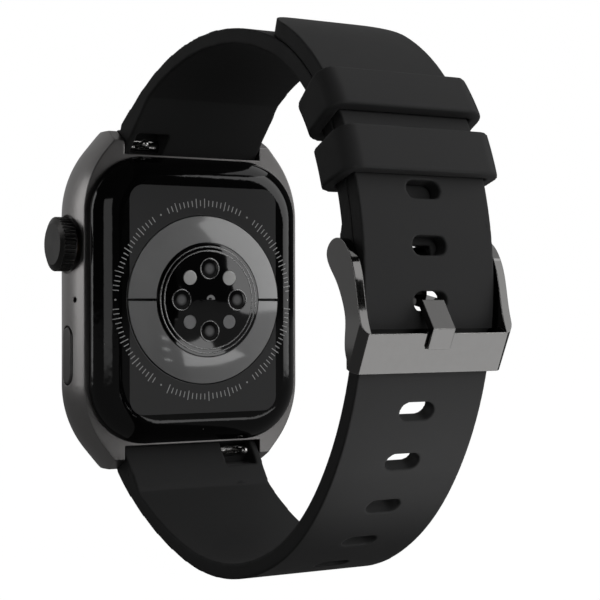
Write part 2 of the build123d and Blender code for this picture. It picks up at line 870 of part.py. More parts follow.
def hole_distance(i):
    return hole_pitch * i + hole_pitch_growth * i * abs(i)


def strap_hole(distance):
    centre, radius, angle = on_strap(distance)
    y, z = polar(centre, radius - strap_thickness / 2, angle)
    across = math.radians(angle)
    plane = Plane(origin=(0, y, z), x_dir=(1, 0, 0), z_dir=(0, math.cos(across), math.sin(across)))
    return extrude(plane * SlotOverall(hole_width, hole_height), strap_thickness, both=True)


def lug_end(start, inner_angle, arc, side):
    """The thick end that wraps the spring bar, blended into the strap."""
    wide = (-strap_half_at_lugs, strap_half_at_lugs)
    boss = rod_x(lug_boss_radius, wide, lug_pin_y, side * lug_pin_z)
    blend_end = polar(arc[0], arc[1] - strap_thickness, inner_angle)
    outer_end = polar(arc[0], arc[1], inner_angle)
    pin = (lug_pin_y, side * lug_pin_z)
    dy, dz = blend_end[0] - pin[0], blend_end[1] - pin[1]
    tangent = math.atan2(dz, dy) - side * math.acos(lug_boss_radius / math.hypot(dy, dz))
    touch = polar(pin, lug_boss_radius, math.degrees(tangent))
    wedge = make_face(Polyline(pin, touch, blend_end, outer_end, start, close=True))
    return boss + cut_side(wedge, wide)


def release_notch(side):
    """Room for the release lever and a fingertip in the strap's wrist side."""
    x = sorted((side * 4.8, side * 9.8))
    z = sorted((side * (lug_pin_z - 3), side * (lug_pin_z + 2.0)))
    return block(x, (lug_pin_y + 0.1, lug_pin_y + 4.5), z)


def make_hole_strap():
    strap = cut_side(band(hole_side, strap_thickness), (-strap_half_at_lugs, strap_half_at_lugs))
    first = hole_side[0]
    strap = lug_end(hole_side_start, first[2] + 8, first, -1) + strap
    strap = taper(strap)
    tip_angle = tip_bend[2] + tip_bend[3]
    tip_edges = strap.edges().filter_by(lambda e: abs(e.length - strap_thickness) < 0.01)
    tip_point = Vector(0, *polar(tip_bend[0], tip_bend[1] - strap_thickness / 2, tip_angle))
    tip_edges = [e for e in tip_edges if (Vector(0, (e @ 0.5).Y, (e @ 0.5).Z) - tip_point).length < 0.5]
    strap = fillet(tip_edges, tip_corner)
    for i in range(-holes_towards_tip, holes_towards_head + 1):
        strap -= strap_hole(hole_distance(i))
    strap -= rod_x(bar_tube_radius + running_fit, (-20, 20), lug_pin_y, -lug_pin_z)
    return strap - release_notch(-1)


def make_buckle_strap():
    heading = math.radians(buckle_side_heading)
    straight = (-buckle_side_straight * math.cos(heading), -buckle_side_straight * math.sin(heading))
    wide = (-strap_half_at_lugs, strap_half_at_lugs)
    strap = cut_side(band(buckle_side, strap_thickness, straight), wide)
    last = buckle_side[2]
    strap = lug_end(buckle_side_start, last[2] + last[3] - 4, last, 1) + strap
    strap += rod_x(loop_radius, wide, pin_y, pin_z)
    neck_angle = pin_angle + 7
    inner = buckle_side[0][1] - strap_thickness
    neck = make_face(Polyline(
        (pin_y, pin_z),
        polar(buckle_bend[0], inner + 1, pin_angle),
        polar(buckle_bend[0], inner + 1, neck_angle),
        polar(buckle_bend[0], inner, neck_angle),
        (pin_y - loop_radius * outward[0], pin_z - loop_radius * outward[1]),
        close=True,
    ))
    strap += cut_side(neck, wide)
    strap = taper(strap)
    slot_z = (pin_z - 6, pin_z + tang_eye_radius + tang_slot_room)
    strap -= block((-tang_slot_half, tang_slot_half), (pin_y - 6, pin_y + 6), slot_z)
    strap -= rod_x(buckle_pin_radius + running_fit, (-20, 20), pin_y, pin_z)
    strap -= rod_x(bar_tube_radius + running_fit, (-20, 20), lug_pin_y, lug_pin_z)
    return strap - release_notch(1)


# ---- keepers ----
def make_keeper(bend, middle):
    """A silicone loop round both strap halves, centred at an angle on one bend."""
    centre, radius = bend[0], bend[1]
    outer = radius + keeper_gap + keeper_wall
    inner = radius - under - strap_thickness - keeper_gap - keeper_wall
    half = math.degrees(keeper_length / 2 / outer)
    ring = [(centre, outer, middle - half, 2 * half)]
    solid = cut_side(band(ring, outer - inner), (-keeper_half - keeper_wall, keeper_half + keeper_wall))
    room = [(centre, radius + keeper_gap, middle - half - 5, 2 * half + 10)]
    opening = cut_side(band(room, outer - inner - 2 * keeper_wall), (-keeper_half, keeper_half))
    keeper = solid - opening
    side = keeper_half + keeper_wall
    curved = keeper.edges().filter_by(GeomType.CIRCLE)
    return fillet([e for e in curved if abs(abs(e.center().X) - side) < 0.01], keeper_corner)


# ---- spring bars with a quick release ----
def bar_pieces(side):
    """Tube, fixed pin, release pin and spring; the release lever is on the side's own end."""
    y, z = lug_pin_y, side * lug_pin_z
    bore_floor = -side * 6.5
    tube = rod_x(bar_tube_radius, (-tube_half, tube_half), y, z)
    tube -= rod_x(bar_pin_radius + running_fit, sorted((bore_floor, side * 20)), y, z)
    slot_x = sorted((side * (lever_x + 0.45), side * (lever_x - release_travel - 0.45)))
    tube -= block(slot_x, (y, y + 3), (z - 0.45, z + 0.45))
    pin_tip = lug_gap_half + pin_reach
    fixed = rod_x(bar_pin_radius, sorted((-side * tube_half, -side * pin_tip)), y, z)
    pin_end = 4.6
    pin = rod_x(bar_pin_radius, sorted((side * pin_end, side * pin_tip)), y, z)
    lever = Pos(side * lever_x, y + 1.7, z) * Rot(90, 0, 0) * Cylinder(0.35, 3.0)
    ball = Pos(side * lever_x, y + 3.3, z) * Sphere(0.6)
    spring_x = sorted((bore_floor + side * 0.05, side * (pin_end - 0.05)))
    spring = coil_x(0.38, 0.1, spring_x, y, z, 14)
    return tube, fixed, pin + lever + ball, spring


# ---- buckle ----
lean = math.radians(buckle_lean)
bar_down = (-math.cos(lean), -math.sin(lean))
bar_face = (-math.sin(lean), math.cos(lean))
bar_top = (-3.52, 2.18)
# The arm's side outline, from the front bar round the pin end to the foot, as by_hole distances.
arm_outline = [
    (-2.4, 1.65), (-1.0, 1.15), (1.05, 0.62), (3.3, 0.0), (5.55, -1.2), (6.9, -2.9),
    (6.75, -4.75), (5.2, -5.85), (3.9, -5.3), (2.45, -3.95), (0.27, -2.45), (-2.2, -1.55), (-5.0, -1.55),
]


def on_bar(down, out):
    """A point by its distance down the front bar's face and out from it."""
    along = bar_top[0] + down * bar_down[0] + out * bar_face[0]
    height = bar_top[1] + down * bar_down[1] + out * bar_face[1]
    return by_hole(along, height)


def make_buckle():
    plate = make_face(Polyline(
        on_bar(0, 0), on_bar(buckle_height, 0),
        on_bar(buckle_height, -buckle_plate), on_bar(0, -buckle_plate_top),
        close=True,
    ))
    foot = on_bar(buckle_height - 1.0, -heel_depth)
    toe = on_bar(buckle_height, -heel_depth + 0.5)
    arm = make_face([
        Spline(on_bar(0, 0), *[by_hole(*point) for point in arm_outline], foot),
        Line(foot, toe),
        Line(toe, on_bar(buckle_height, 0)),
        Line(on_bar(buckle_height, 0), on_bar(0, 0)),
    ])
    inner_half = buckle_half - arm_thickness
    frame = cut_side(plate, (-buckle_half, buckle_half))
    frame += cut_side(arm, (inner_half, buckle_half))
    frame += cut_side(arm, (-buckle_half, -inner_half))
    corners = frame.edges().filter_by(
        lambda e: e.geom_type == GeomType.LINE and abs(e.length - buckle_height) < 0.01
        and abs(abs(e.center().X) - buckle_half) < 0.01
    )
    frame = fillet(corners, corner_round)
    inside = []
    for edge in frame.edges().filter_by(GeomType.LINE):
        if abs(abs(edge.center().X) - inner_half) < 0.01 and edge.length > 0.6 * buckle_height:
            inside.append(edge)
    frame = fillet(inside, buckle_inner_corner)
    notch = make_face(Polyline(
        on_bar(-1.5, 1), on_bar(notch_length, 1),
        on_bar(notch_length, -notch_depth), on_bar(-1.5, -notch_depth),
        close=True,
    ))
    frame -= cut_side(notch, (-tang_slot_half, tang_slot_half))
    return frame - rod_x(buckle_pin_radius, (-buckle_pin_half, buckle_pin_half), pin_y, pin_z)


def make_tang():
    """A bent strip: an eye on the pin, out through the strap hole, then flat on the bar."""
    outer = [
        by_hole(3.6, pin_out + 1.25),
        by_hole(0.62, pin_out + 1.4),
        by_hole(0.2, 0.48),
        on_bar(-0.8, tang_proud),
        on_bar(notch_length - 0.1, tang_proud),
    ]
    inner = inset_line(outer, tang_thickness)
    strip = make_face(Polyline(*outer, *reversed(inner), close=True))
    wide = (-tang_width / 2, tang_width / 2)
    tang = cut_side(strip, wide) + rod_x(tang_eye_radius, wide, pin_y, pin_z)
    return tang - rod_x(buckle_pin_radius + running_fit, (-5, 5), pin_y, pin_z)


def inset_line(points, distance):
    """The same bent line moved sideways by a distance, with square corners."""
    moved = []
    for i, (y, z) in enumerate(points):
        before = points[max(i - 1, 0)]
        after = points[min(i + 1, len(points) - 1)]
        into = unit(y - before[0], z - before[1]) if i > 0 else unit(after[0] - y, after[1] - z)
        away = unit(after[0] - y, after[1] - z) if i < len(points) - 1 else into
        ny, nz = into[1] + away[1], -into[0] - away[0]
        scale = distance / (1 + into[0] * away[0] + into[1] * away[1])
        moved.append((y + ny * scale, z + nz * scale))
    return moved


def unit(dy, dz):
    size = math.hypot(dy, dz)
    return dy / size, dz / size


# ---- write every piece ----
upper_half, lower_half = make_half_rings()
pieces = {
    "case_frame": make_case(),
    "front_glass": make_glass(),
    "display_gasket": make_gasket(),
    "display_panel": make_panel(),
    "display_flex": make_display_flex(),
    "inner_chassis": make_chassis(),
    "battery": make_battery(),
    "main_board": make_board(),
    "processor": make_processor(),
    "shield_can": make_shield(),
    "board_screws": make_screws(),
    "vibration_motor": make_motor(),
    "speaker": make_speaker(),
    "speaker_mesh": make_speaker_mesh(),
    "microphone": make_microphone(),
    "antenna": make_antenna(),
    "rear_cover": make_cover(),
    "rear_gasket": make_rear_gasket(),
    "sensor_housing": make_housing(),
    "upper_half_ring": upper_half,
    "lower_half_ring": lower_half,
    "sensor_window": make_window(),
    "accent_rings": make_accents(),
    "lens_rings": make_lens_rings(),
    "sensor_lenses": make_lenses(),
    "led_windows": make_led_windows(),
    "charging_contacts": make_contacts(),
    "sensor_board": make_sensor_board(),
    "photodiodes": make_photodiodes(),
    "sensor_leds": make_leds(),
    "charger_magnets": make_magnets(),
    "crown_knob": make_knob(),
    "crown_stem": make_stem(),
    "crown_clip": make_clip(),
    "crown_tube": make_tube(),
    "crown_o_ring": make_o_ring(),
    "crown_spring": coil_x(1.55, 0.1, (tube_outer + lay_gap, hollow_end - lay_gap), crown_y, crown_z, 2.5),
    "encoder_wheel": make_encoder(),
    "crown_plunger": make_plunger(),
    "crown_switch": make_crown_switch(),
    "button_cap": make_button(),
    "button_seal": make_button_seal(),
    "button_switch": make_button_switch(),
    "button_spring": make_button_spring(),
    "key_flex": make_key_flex(),
    "strap_hole_side": make_hole_strap(),
    "strap_buckle_side": make_buckle_strap(),
    "fixed_keeper": make_keeper(buckle_bend, fixed_keeper_angle),
    "free_keeper": make_keeper(tip_bend, free_keeper_angle),
    "buckle_frame": make_buckle(),
    "buckle_pin": rod_x(buckle_pin_radius, (-buckle_pin_half, buckle_pin_half), pin_y, pin_z),
    "buckle_tang": make_tang(),
}
for place, side in (("upper", 1), ("lower", -1)):
    for name, solid in zip(("bar_tube", "bar_fixed_pin", "bar_release", "bar_spring"), bar_pieces(side)):
        pieces[f"{place}_{name}"] = solid

for name, solid in pieces.items():
    save(name, solid)
print(len(pieces), "nodes")
print("buckle pin at", pin_y, pin_z)
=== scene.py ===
import bpy
import bmesh
import math
from mathutils import Matrix, Vector


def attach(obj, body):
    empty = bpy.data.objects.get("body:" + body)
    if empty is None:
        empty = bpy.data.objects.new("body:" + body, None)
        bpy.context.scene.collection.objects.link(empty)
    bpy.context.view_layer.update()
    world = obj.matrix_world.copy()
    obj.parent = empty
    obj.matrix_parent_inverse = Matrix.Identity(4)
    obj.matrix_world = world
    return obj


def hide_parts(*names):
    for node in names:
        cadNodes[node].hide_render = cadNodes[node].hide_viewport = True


# A rectangular smartwatch with its strap buckled, seen from the sensor side.
# +Z is the 12 o'clock end, the display faces -Y, the crown is on +X.
# Lengths are in metres unless a name or note says mm.

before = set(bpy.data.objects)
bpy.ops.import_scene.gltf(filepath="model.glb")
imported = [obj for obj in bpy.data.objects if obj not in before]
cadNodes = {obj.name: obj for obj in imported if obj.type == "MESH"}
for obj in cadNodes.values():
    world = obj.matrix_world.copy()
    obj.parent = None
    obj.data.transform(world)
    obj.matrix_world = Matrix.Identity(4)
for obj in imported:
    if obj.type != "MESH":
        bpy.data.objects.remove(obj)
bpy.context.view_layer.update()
mm = 0.001
print("frame loaded with", len(cadNodes), "nodes")


def place(tree, kind, **settings):
    node = tree.nodes.new(kind)
    for key, value in settings.items():
        setattr(node, key, value)
    return node


def wire(tree, source, target):
    tree.links.new(source, target)


def calc(tree, operation, first, second=None, third=None):
    node = place(tree, "ShaderNodeMath", operation=operation)
    for index, value in enumerate((first, second, third)):
        if value is None:
            continue
        if isinstance(value, (int, float)):
            node.inputs[index].default_value = value
        else:
            wire(tree, value, node.inputs[index])
    return node.outputs[0]


def blendColour(tree, factor, low, high, mode="MIX"):
    node = place(tree, "ShaderNodeMix", data_type="RGBA", blend_type=mode)
    for label, value in (("Factor", factor), ("A", low), ("B", high)):
        socket = node.inputs[label]
        if isinstance(value, bpy.types.NodeSocket):
            wire(tree, value, socket)
        else:
            socket.default_value = value
    return node.outputs["Result"]


def newGroup(name, inputs, outputs):
    group = bpy.data.node_groups.new(name, "ShaderNodeTree")
    for label, kind, value in inputs:
        group.interface.new_socket(name=label, in_out="INPUT", socket_type=kind).default_value = value
    for label, kind in outputs:
        group.interface.new_socket(name=label, in_out="OUTPUT", socket_type=kind)
    return group, place(group, "NodeGroupInput"), place(group, "NodeGroupOutput")


def spotsInMm(group, size):
    # the piece's own coordinates in mm, scaled by a size socket
    coords = place(group, "ShaderNodeTexCoord")
    scaled = place(group, "ShaderNodeVectorMath", operation="SCALE")
    scaled.inputs["Scale"].default_value = 1 / mm
    wire(group, coords.outputs["Object"], scaled.inputs[0])
    sized = place(group, "ShaderNodeVectorMath", operation="SCALE")
    wire(group, scaled.outputs[0], sized.inputs[0])
    wire(group, calc(group, "DIVIDE", 1.0, size), sized.inputs["Scale"])
    return sized.outputs[0]


# grain: a fine height for the bump, and a wide slow mottle that varies colour and roughness
grainShape = {"fineRoughness": 0.55, "wideScale": 0.045, "wideDetail": 2.0}


def makeGrain(values):
    group, given, result = newGroup(
        "surfaceGrain",
        [("SizeMm", "NodeSocketFloat", 0.1), ("Detail", "NodeSocketFloat", 3.0)],
        [("Height", "NodeSocketFloat"), ("Mottle", "NodeSocketFloat")])
    spots = spotsInMm(group, given.outputs["SizeMm"])
    fine = place(group, "ShaderNodeTexNoise")
    fine.inputs["Scale"].default_value = 1.0
    fine.inputs["Roughness"].default_value = values["fineRoughness"]
    wire(group, spots, fine.inputs["Vector"])
    wire(group, given.outputs["Detail"], fine.inputs["Detail"])
    wide = place(group, "ShaderNodeTexNoise")
    wide.inputs["Scale"].default_value = values["wideScale"]
    wide.inputs["Detail"].default_value = values["wideDetail"]
    wire(group, spots, wide.inputs["Vector"])
    wire(group, fine.outputs["Fac"], result.inputs["Height"])
    wire(group, wide.outputs["Fac"], result.inputs["Mottle"])
    return group


# edge wear and painted edge highlight: sharpness turns a bend into a mask, patchGain and patchOffset break
# it up along the edge; the colour laid by the mask is wear on most finishes and a painted highlight along
# the gunmetal's edges
edgeShape = {"samples": 6, "sharpness": 9.0, "patchDetail": 4.0, "patchGain": 1.6, "patchOffset": -0.25}


def makeEdgeWearAndHighlight(values):
    group, given, result = newGroup(
        "edgeWearAndHighlight",
        [("Reach", "NodeSocketFloat", 0.00015),
         ("BreakMm", "NodeSocketFloat", 1.5),
         ("Amount", "NodeSocketFloat", 0.5)],
        [("Mask", "NodeSocketFloat"), ("Normal", "NodeSocketVector")])
    rounded = place(group, "ShaderNodeBevel", samples=values["samples"])
    wire(group, given.outputs["Reach"], rounded.inputs["Radius"])
    surface = place(group, "ShaderNodeNewGeometry")
    compare = place(group, "ShaderNodeVectorMath", operation="DOT_PRODUCT")
    wire(group, rounded.outputs["Normal"], compare.inputs[0])
    wire(group, surface.outputs["Normal"], compare.inputs[1])
    turned = calc(group, "SUBTRACT", 1.0, compare.outputs["Value"])
    sharp = calc(group, "MULTIPLY", turned, values["sharpness"])
    patches = place(group, "ShaderNodeTexNoise")
    patches.inputs["Scale"].default_value = 1.0
    patches.inputs["Detail"].default_value = values["patchDetail"]
    wire(group, spotsInMm(group, given.outputs["BreakMm"]), patches.inputs["Vector"])
    share = calc(group, "MULTIPLY_ADD", patches.outputs["Fac"], values["patchGain"], values["patchOffset"])
    broken = calc(group, "MULTIPLY", sharp, share)
    wornAndLit = calc(group, "MULTIPLY", broken, given.outputs["Amount"])
    limit = place(group, "ShaderNodeClamp")
    wire(group, wornAndLit, limit.inputs["Value"])
    wire(group, limit.outputs[0], result.inputs["Mask"])
    wire(group, rounded.outputs["Normal"], result.inputs["Normal"])
    return group


# dust: specks of a share of their cell, rougher than what they lie on
dustShape = {"speck": 0.075, "addedRoughness": 0.4}


def makeDust(values):
    group, given, result = newGroup(
        "fineDust",
        [("SizeMm", "NodeSocketFloat", 0.8), ("Amount", "NodeSocketFloat", 0.1)],
        [("Mask", "NodeSocketFloat")])
    cells = place(group, "ShaderNodeTexVoronoi")
    cells.inputs["Scale"].default_value = 1.0
    wire(group, spotsInMm(group, given.outputs["SizeMm"]), cells.inputs["Vector"])
    near = calc(group, "LESS_THAN", cells.outputs["Distance"], values["speck"])
    pick = place(group, "ShaderNodeSeparateColor")
    wire(group, cells.outputs["Color"], pick.inputs[0])
    chosen = calc(group, "LESS_THAN", pick.outputs[0], given.outputs["Amount"])
    wire(group, calc(group, "MULTIPLY", near, chosen), result.inputs["Mask"])
    return group


# patch: a flat rounded rectangle in the piece's X and Z, in mm about its own origin
patchShape = {"softEdgeMm": 0.04}


def makePatch(values):
    group, given, result = newGroup(
        "roundedPatch",
        [("HalfX", "NodeSocketFloat", 10.0),
         ("HalfZ", "NodeSocketFloat", 10.0),
         ("Corner", "NodeSocketFloat", 2.0)],
        [("Mask", "NodeSocketFloat")])
    size = place(group, "ShaderNodeValue")
    size.outputs[0].default_value = 1.0
    parts = place(group, "ShaderNodeSeparateXYZ")
    wire(group, spotsInMm(group, size.outputs[0]), parts.inputs[0])
    squares = []
    for axis, half in (("X", "HalfX"), ("Z", "HalfZ")):
        inner = calc(group, "SUBTRACT", given.outputs[half], given.outputs["Corner"])
        beyond = calc(group, "SUBTRACT", calc(group, "ABSOLUTE", parts.outputs[axis]), inner)
        squares.append(calc(group, "POWER", calc(group, "MAXIMUM", beyond, 0.0), 2.0))
    reach = calc(group, "SQRT", calc(group, "ADD", *squares))
    step = place(group, "ShaderNodeMapRange", interpolation_type="SMOOTHSTEP")
    wire(group, calc(group, "SUBTRACT", reach, given.outputs["Corner"]), step.inputs["Value"])
    soft = values["softEdgeMm"]
    for key, value in (("From Min", -soft), ("From Max", soft), ("To Min", 1.0), ("To Max", 0.0)):
        step.inputs[key].default_value = value
    wire(group, step.outputs["Result"], result.inputs["Mask"])
    return group


grainGroup = makeGrain(grainShape)
edgeGroup = makeEdgeWearAndHighlight(edgeShape)
dustGroup = makeDust(dustShape)
patchGroup = makePatch(patchShape)


def useGroup(tree, group, **values):
    node = place(tree, "ShaderNodeGroup", node_tree=group)
    for key, value in values.items():
        node.inputs[key].default_value = value
    return node


# colour and deepColour are mixed by the mottle, the edge colour shows on edges: wear on most finishes, a
# painted highlight on the gunmetal, dust is the share of cells with a speck, patch is (half width, half
# height, corner, colour)
def makeFinish(name, look):
    material = bpy.data.materials.new(name)
    material.use_nodes = True
    tree = material.node_tree
    shader = tree.nodes["Principled BSDF"]
    shader.inputs["Metallic"].default_value = look.get("metallic", 0.0)
    shader.inputs["IOR"].default_value = look.get("ior", 1.5)
    shader.inputs["Coat Weight"].default_value = look.get("coat", 0.0)
    shader.inputs["Coat Roughness"].default_value = look.get("coatRoughness", 0.05)
    shader.inputs["Sheen Weight"].default_value = look.get("sheen", 0.0)
    shader.inputs["Specular IOR Level"].default_value = look.get("specular", 0.5)
    grain = useGroup(tree, grainGroup, SizeMm=look.get("grainMm", 0.12), Detail=look.get("detail", 3.0))
    wearAndHighlight = useGroup(tree, edgeGroup, Reach=look.get("edgeMm", 0.12) * mm, Amount=look.get("wearAndHighlight", 0.3))
    dust = useGroup(tree, dustGroup, SizeMm=look.get("dustMm", 0.8), Amount=look.get("dust", 0.0))
    colour = blendColour(tree, grain.outputs["Mottle"], (*look["deepColour"], 1), (*look["colour"], 1))
    # edge colour: wear on most finishes, a painted highlight on the gunmetal
    colour = blendColour(tree, wearAndHighlight.outputs["Mask"], colour, (*look.get("wearAndHighlightColour", look["colour"]), 1))
    dustColour = look.get("dustColour", (0.35, 0.34, 0.33))
    colour = blendColour(tree, dust.outputs["Mask"], colour, (*dustColour, 1))
    if "patch" in look:
        halfX, halfZ, corner, patchColour = look["patch"]
        patch = useGroup(tree, patchGroup, HalfX=halfX, HalfZ=halfZ, Corner=corner)
        colour = blendColour(tree, patch.outputs["Mask"], colour, (*patchColour, 1))
    wire(tree, colour, shader.inputs["Base Color"])
    spread = look.get("roughSpread", 0.05)
    rough = calc(tree, "MULTIPLY_ADD", grain.outputs["Mottle"], spread, look["roughness"] - spread / 2)
    rough = calc(tree, "MULTIPLY_ADD", wearAndHighlight.outputs["Mask"], look.get("wornRough", 0.0), rough)
    rough = calc(tree, "MULTIPLY_ADD", dust.outputs["Mask"], dustShape["addedRoughness"], rough)
    wire(tree, rough, shader.inputs["Roughness"])
    bump = place(tree, "ShaderNodeBump")
    bump.inputs["Strength"].default_value = look.get("bump", 0.1)
    bump.inputs["Distance"].default_value = look.get("bumpMm", 0.02) * mm
    wire(tree, grain.outputs["Height"], bump.inputs["Height"])
    wire(tree, wearAndHighlight.outputs["Normal"], bump.inputs["Normal"])
    wire(tree, bump.outputs["Normal"], shader.inputs["Normal"])
    if "turnedAbout" in look:
        shader.inputs["Anisotropic"].default_value = look["anisotropy"]
        around = place(tree, "ShaderNodeTangent", direction_type="RADIAL", axis=look["turnedAbout"])
        wire(tree, around.outputs[0], shader.inputs["Tangent"])
    return material


silicone = {"colour": (0.042, 0.042, 0.0425), "deepColour": (0.038, 0.038, 0.0385), "specular": 0.22,
            "roughSpread": 0.08, "grainMm": 0.09, "bump": 0.35, "bumpMm": 0.02, "edgeMm": 0.35,
            "sheen": 0.06, "dust": 0.012, "dustMm": 1.1, "dustColour": (0.12, 0.12, 0.12)}
looks = {
    "frame_metal": {"colour": (0.33, 0.32, 0.317), "deepColour": (0.295, 0.286, 0.283), "metallic": 1.0,
                    "roughness": 0.30, "grainMm": 0.05, "bump": 0.25, "bumpMm": 0.01, "edgeMm": 0.22,
                    "wearAndHighlight": 0.2, "wearAndHighlightColour": (0.30, 0.29, 0.285)},
    "crown_metal": {"colour": (0.055, 0.054, 0.053), "deepColour": (0.045, 0.044, 0.043), "metallic": 1.0,
                    "roughness": 0.25, "grainMm": 0.04, "bump": 0.15, "bumpMm": 0.006, "edgeMm": 0.08,
                    "wearAndHighlight": 0.5, "wearAndHighlightColour": (0.45, 0.44, 0.43), "turnedAbout": "X", "anisotropy": 0.75},
    "button_metal": {"colour": (0.13, 0.126, 0.125), "deepColour": (0.115, 0.112, 0.111), "metallic": 1.0,
                     "roughness": 0.30, "grainMm": 0.05, "bump": 0.2, "bumpMm": 0.008, "edgeMm": 0.2,
                     "wearAndHighlight": 0.5, "wearAndHighlightColour": (0.3, 0.295, 0.29)},
    "display_glass": {"colour": (0.006, 0.006, 0.007), "deepColour": (0.004, 0.004, 0.005),
                      "roughness": 0.04, "roughSpread": 0.03, "bump": 0.0, "edgeMm": 0.15, "wearAndHighlight": 0.0,
                      "coat": 0.6, "coatRoughness": 0.02,
                      "patch": (14.6, 17.2, 5.5, (0.011, 0.011, 0.0125))},
    "display": {"colour": (0.012, 0.012, 0.014), "deepColour": (0.008, 0.008, 0.010), "roughness": 0.2},
    "adhesive": {"colour": (0.02, 0.02, 0.02), "deepColour": (0.012, 0.012, 0.012), "roughness": 0.6},
    "flex": {"colour": (0.42, 0.20, 0.05), "deepColour": (0.33, 0.15, 0.04), "roughness": 0.35, "coat": 0.2},
    "chassis_plastic": {"colour": (0.03, 0.03, 0.032), "deepColour": (0.022, 0.022, 0.024), "roughness": 0.5,
                        "bump": 0.3, "grainMm": 0.1},
    "battery_wrap": {"colour": (0.05, 0.05, 0.055), "deepColour": (0.035, 0.035, 0.04), "metallic": 0.3,
                     "roughness": 0.35, "grainMm": 0.6, "bump": 0.2},
    "board": {"colour": (0.012, 0.05, 0.035), "deepColour": (0.008, 0.035, 0.025), "roughness": 0.35,
              "grainMm": 0.3},
    "chip": {"colour": (0.02, 0.02, 0.021), "deepColour": (0.015, 0.015, 0.016), "roughness": 0.45},
    "tinned_steel": {"colour": (0.6, 0.59, 0.57), "deepColour": (0.5, 0.49, 0.47), "metallic": 1.0,
                     "roughness": 0.3},
    "steel": {"colour": (0.62, 0.61, 0.6), "deepColour": (0.52, 0.51, 0.5), "metallic": 1.0,
              "roughness": 0.2, "edgeMm": 0.06, "wearAndHighlight": 0.4, "wearAndHighlightColour": (0.75, 0.74, 0.73)},
    "spring_steel": {"colour": (0.5, 0.49, 0.48), "deepColour": (0.4, 0.39, 0.38), "metallic": 1.0,
                     "roughness": 0.25},
    "brass": {"colour": (0.55, 0.38, 0.14), "deepColour": (0.45, 0.3, 0.1), "metallic": 1.0,
              "roughness": 0.28},
    "copper": {"colour": (0.6, 0.27, 0.14), "deepColour": (0.5, 0.2, 0.1), "metallic": 1.0,
               "roughness": 0.3},
    "cover_black": {"colour": (0.0035, 0.0035, 0.0037), "deepColour": (0.0025, 0.0025, 0.0027),
                    "roughness": 0.07, "roughSpread": 0.04, "bump": 0.0, "edgeMm": 0.2, "wearAndHighlight": 0.0,
                    "dust": 0.02, "dustMm": 1.4,
                    "patch": (11.9, 16.4, 2.2, (0.09, 0.09, 0.091))},
    "half_ring": {"colour": (0.44, 0.44, 0.442), "deepColour": (0.40, 0.40, 0.402), "roughness": 0.1,
                  "ior": 1.8, "roughSpread": 0.05, "bump": 0.02, "edgeMm": 0.12,
                  "wearAndHighlight": 0.2, "wearAndHighlightColour": (0.3, 0.3, 0.3)},
    "sensor_black": {"colour": (0.0012, 0.0012, 0.0013), "deepColour": (0.0008, 0.0008, 0.0009),
                     "roughness": 0.05, "ior": 1.77, "roughSpread": 0.03, "bump": 0.0, "edgeMm": 0.08,
                     "wearAndHighlight": 0.0},
    "silver": {"colour": (0.5, 0.5, 0.5), "deepColour": (0.4, 0.4, 0.4), "metallic": 1.0, "roughness": 0.25},
    "lens": {"colour": (0.50, 0.50, 0.505), "deepColour": (0.42, 0.42, 0.425), "roughness": 0.12,
             "grainMm": 0.4},
    "contact": {"colour": (0.7, 0.7, 0.69), "deepColour": (0.55, 0.55, 0.54), "metallic": 1.0,
                "roughness": 0.35},
    "led": {"colour": (0.34, 0.34, 0.345), "deepColour": (0.29, 0.29, 0.294), "roughness": 0.35},
    "magnet": {"colour": (0.4, 0.4, 0.42), "deepColour": (0.32, 0.32, 0.34), "metallic": 1.0,
               "roughness": 0.35},
    "plunger": {"colour": (0.06, 0.06, 0.062), "deepColour": (0.045, 0.045, 0.047), "roughness": 0.4},
    "seal_rubber": {"colour": (0.016, 0.016, 0.017), "deepColour": (0.011, 0.011, 0.012), "roughness": 0.55},
    "strap_silicone": {**silicone, "roughness": 0.62},
    "keeper_silicone": {**silicone, "roughness": 0.6},
    # the gunmetal's pale edge colour is a painted highlight: light lines along the buckle's edges
    "gunmetal": {"colour": (0.16, 0.158, 0.156), "deepColour": (0.148, 0.146, 0.144), "metallic": 1.0,
                 "roughness": 0.06, "roughSpread": 0.03, "grainMm": 0.05, "bump": 0.0,
                 "edgeMm": 0.16, "wearAndHighlight": 0.5, "wearAndHighlightColour": (0.6, 0.59, 0.58)},
    "pin_steel": {"colour": (0.5, 0.49, 0.48), "deepColour": (0.42, 0.41, 0.4), "metallic": 1.0,
                  "roughness": 0.18},
}
finishes = {slot: makeFinish(slot, look) for slot, look in looks.items()}
for piece in cadNodes.values():
    slot = piece.material_slots[0].material.name.split(".")[0]
    piece.material_slots[0].material = finishes[slot]
print("finishes made:", len(finishes))


def addPiece(name, mesh, body, slot, *stoodFor):
    piece = bpy.data.objects.new(name, mesh)
    bpy.context.scene.collection.objects.link(piece)
    mesh.materials.clear()
    mesh.materials.append(finishes[slot])
    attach(piece, body)
    if stoodFor:
        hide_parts(*stoodFor)
    return piece


def settle(piece):
    # apply the piece's modifiers and return the finished mesh
    bpy.context.view_layer.update()
    seen = piece.evaluated_get(bpy.context.evaluated_depsgraph_get())
    mesh = bpy.data.meshes.new_from_object(seen)
    bpy.data.objects.remove(piece)
    return mesh


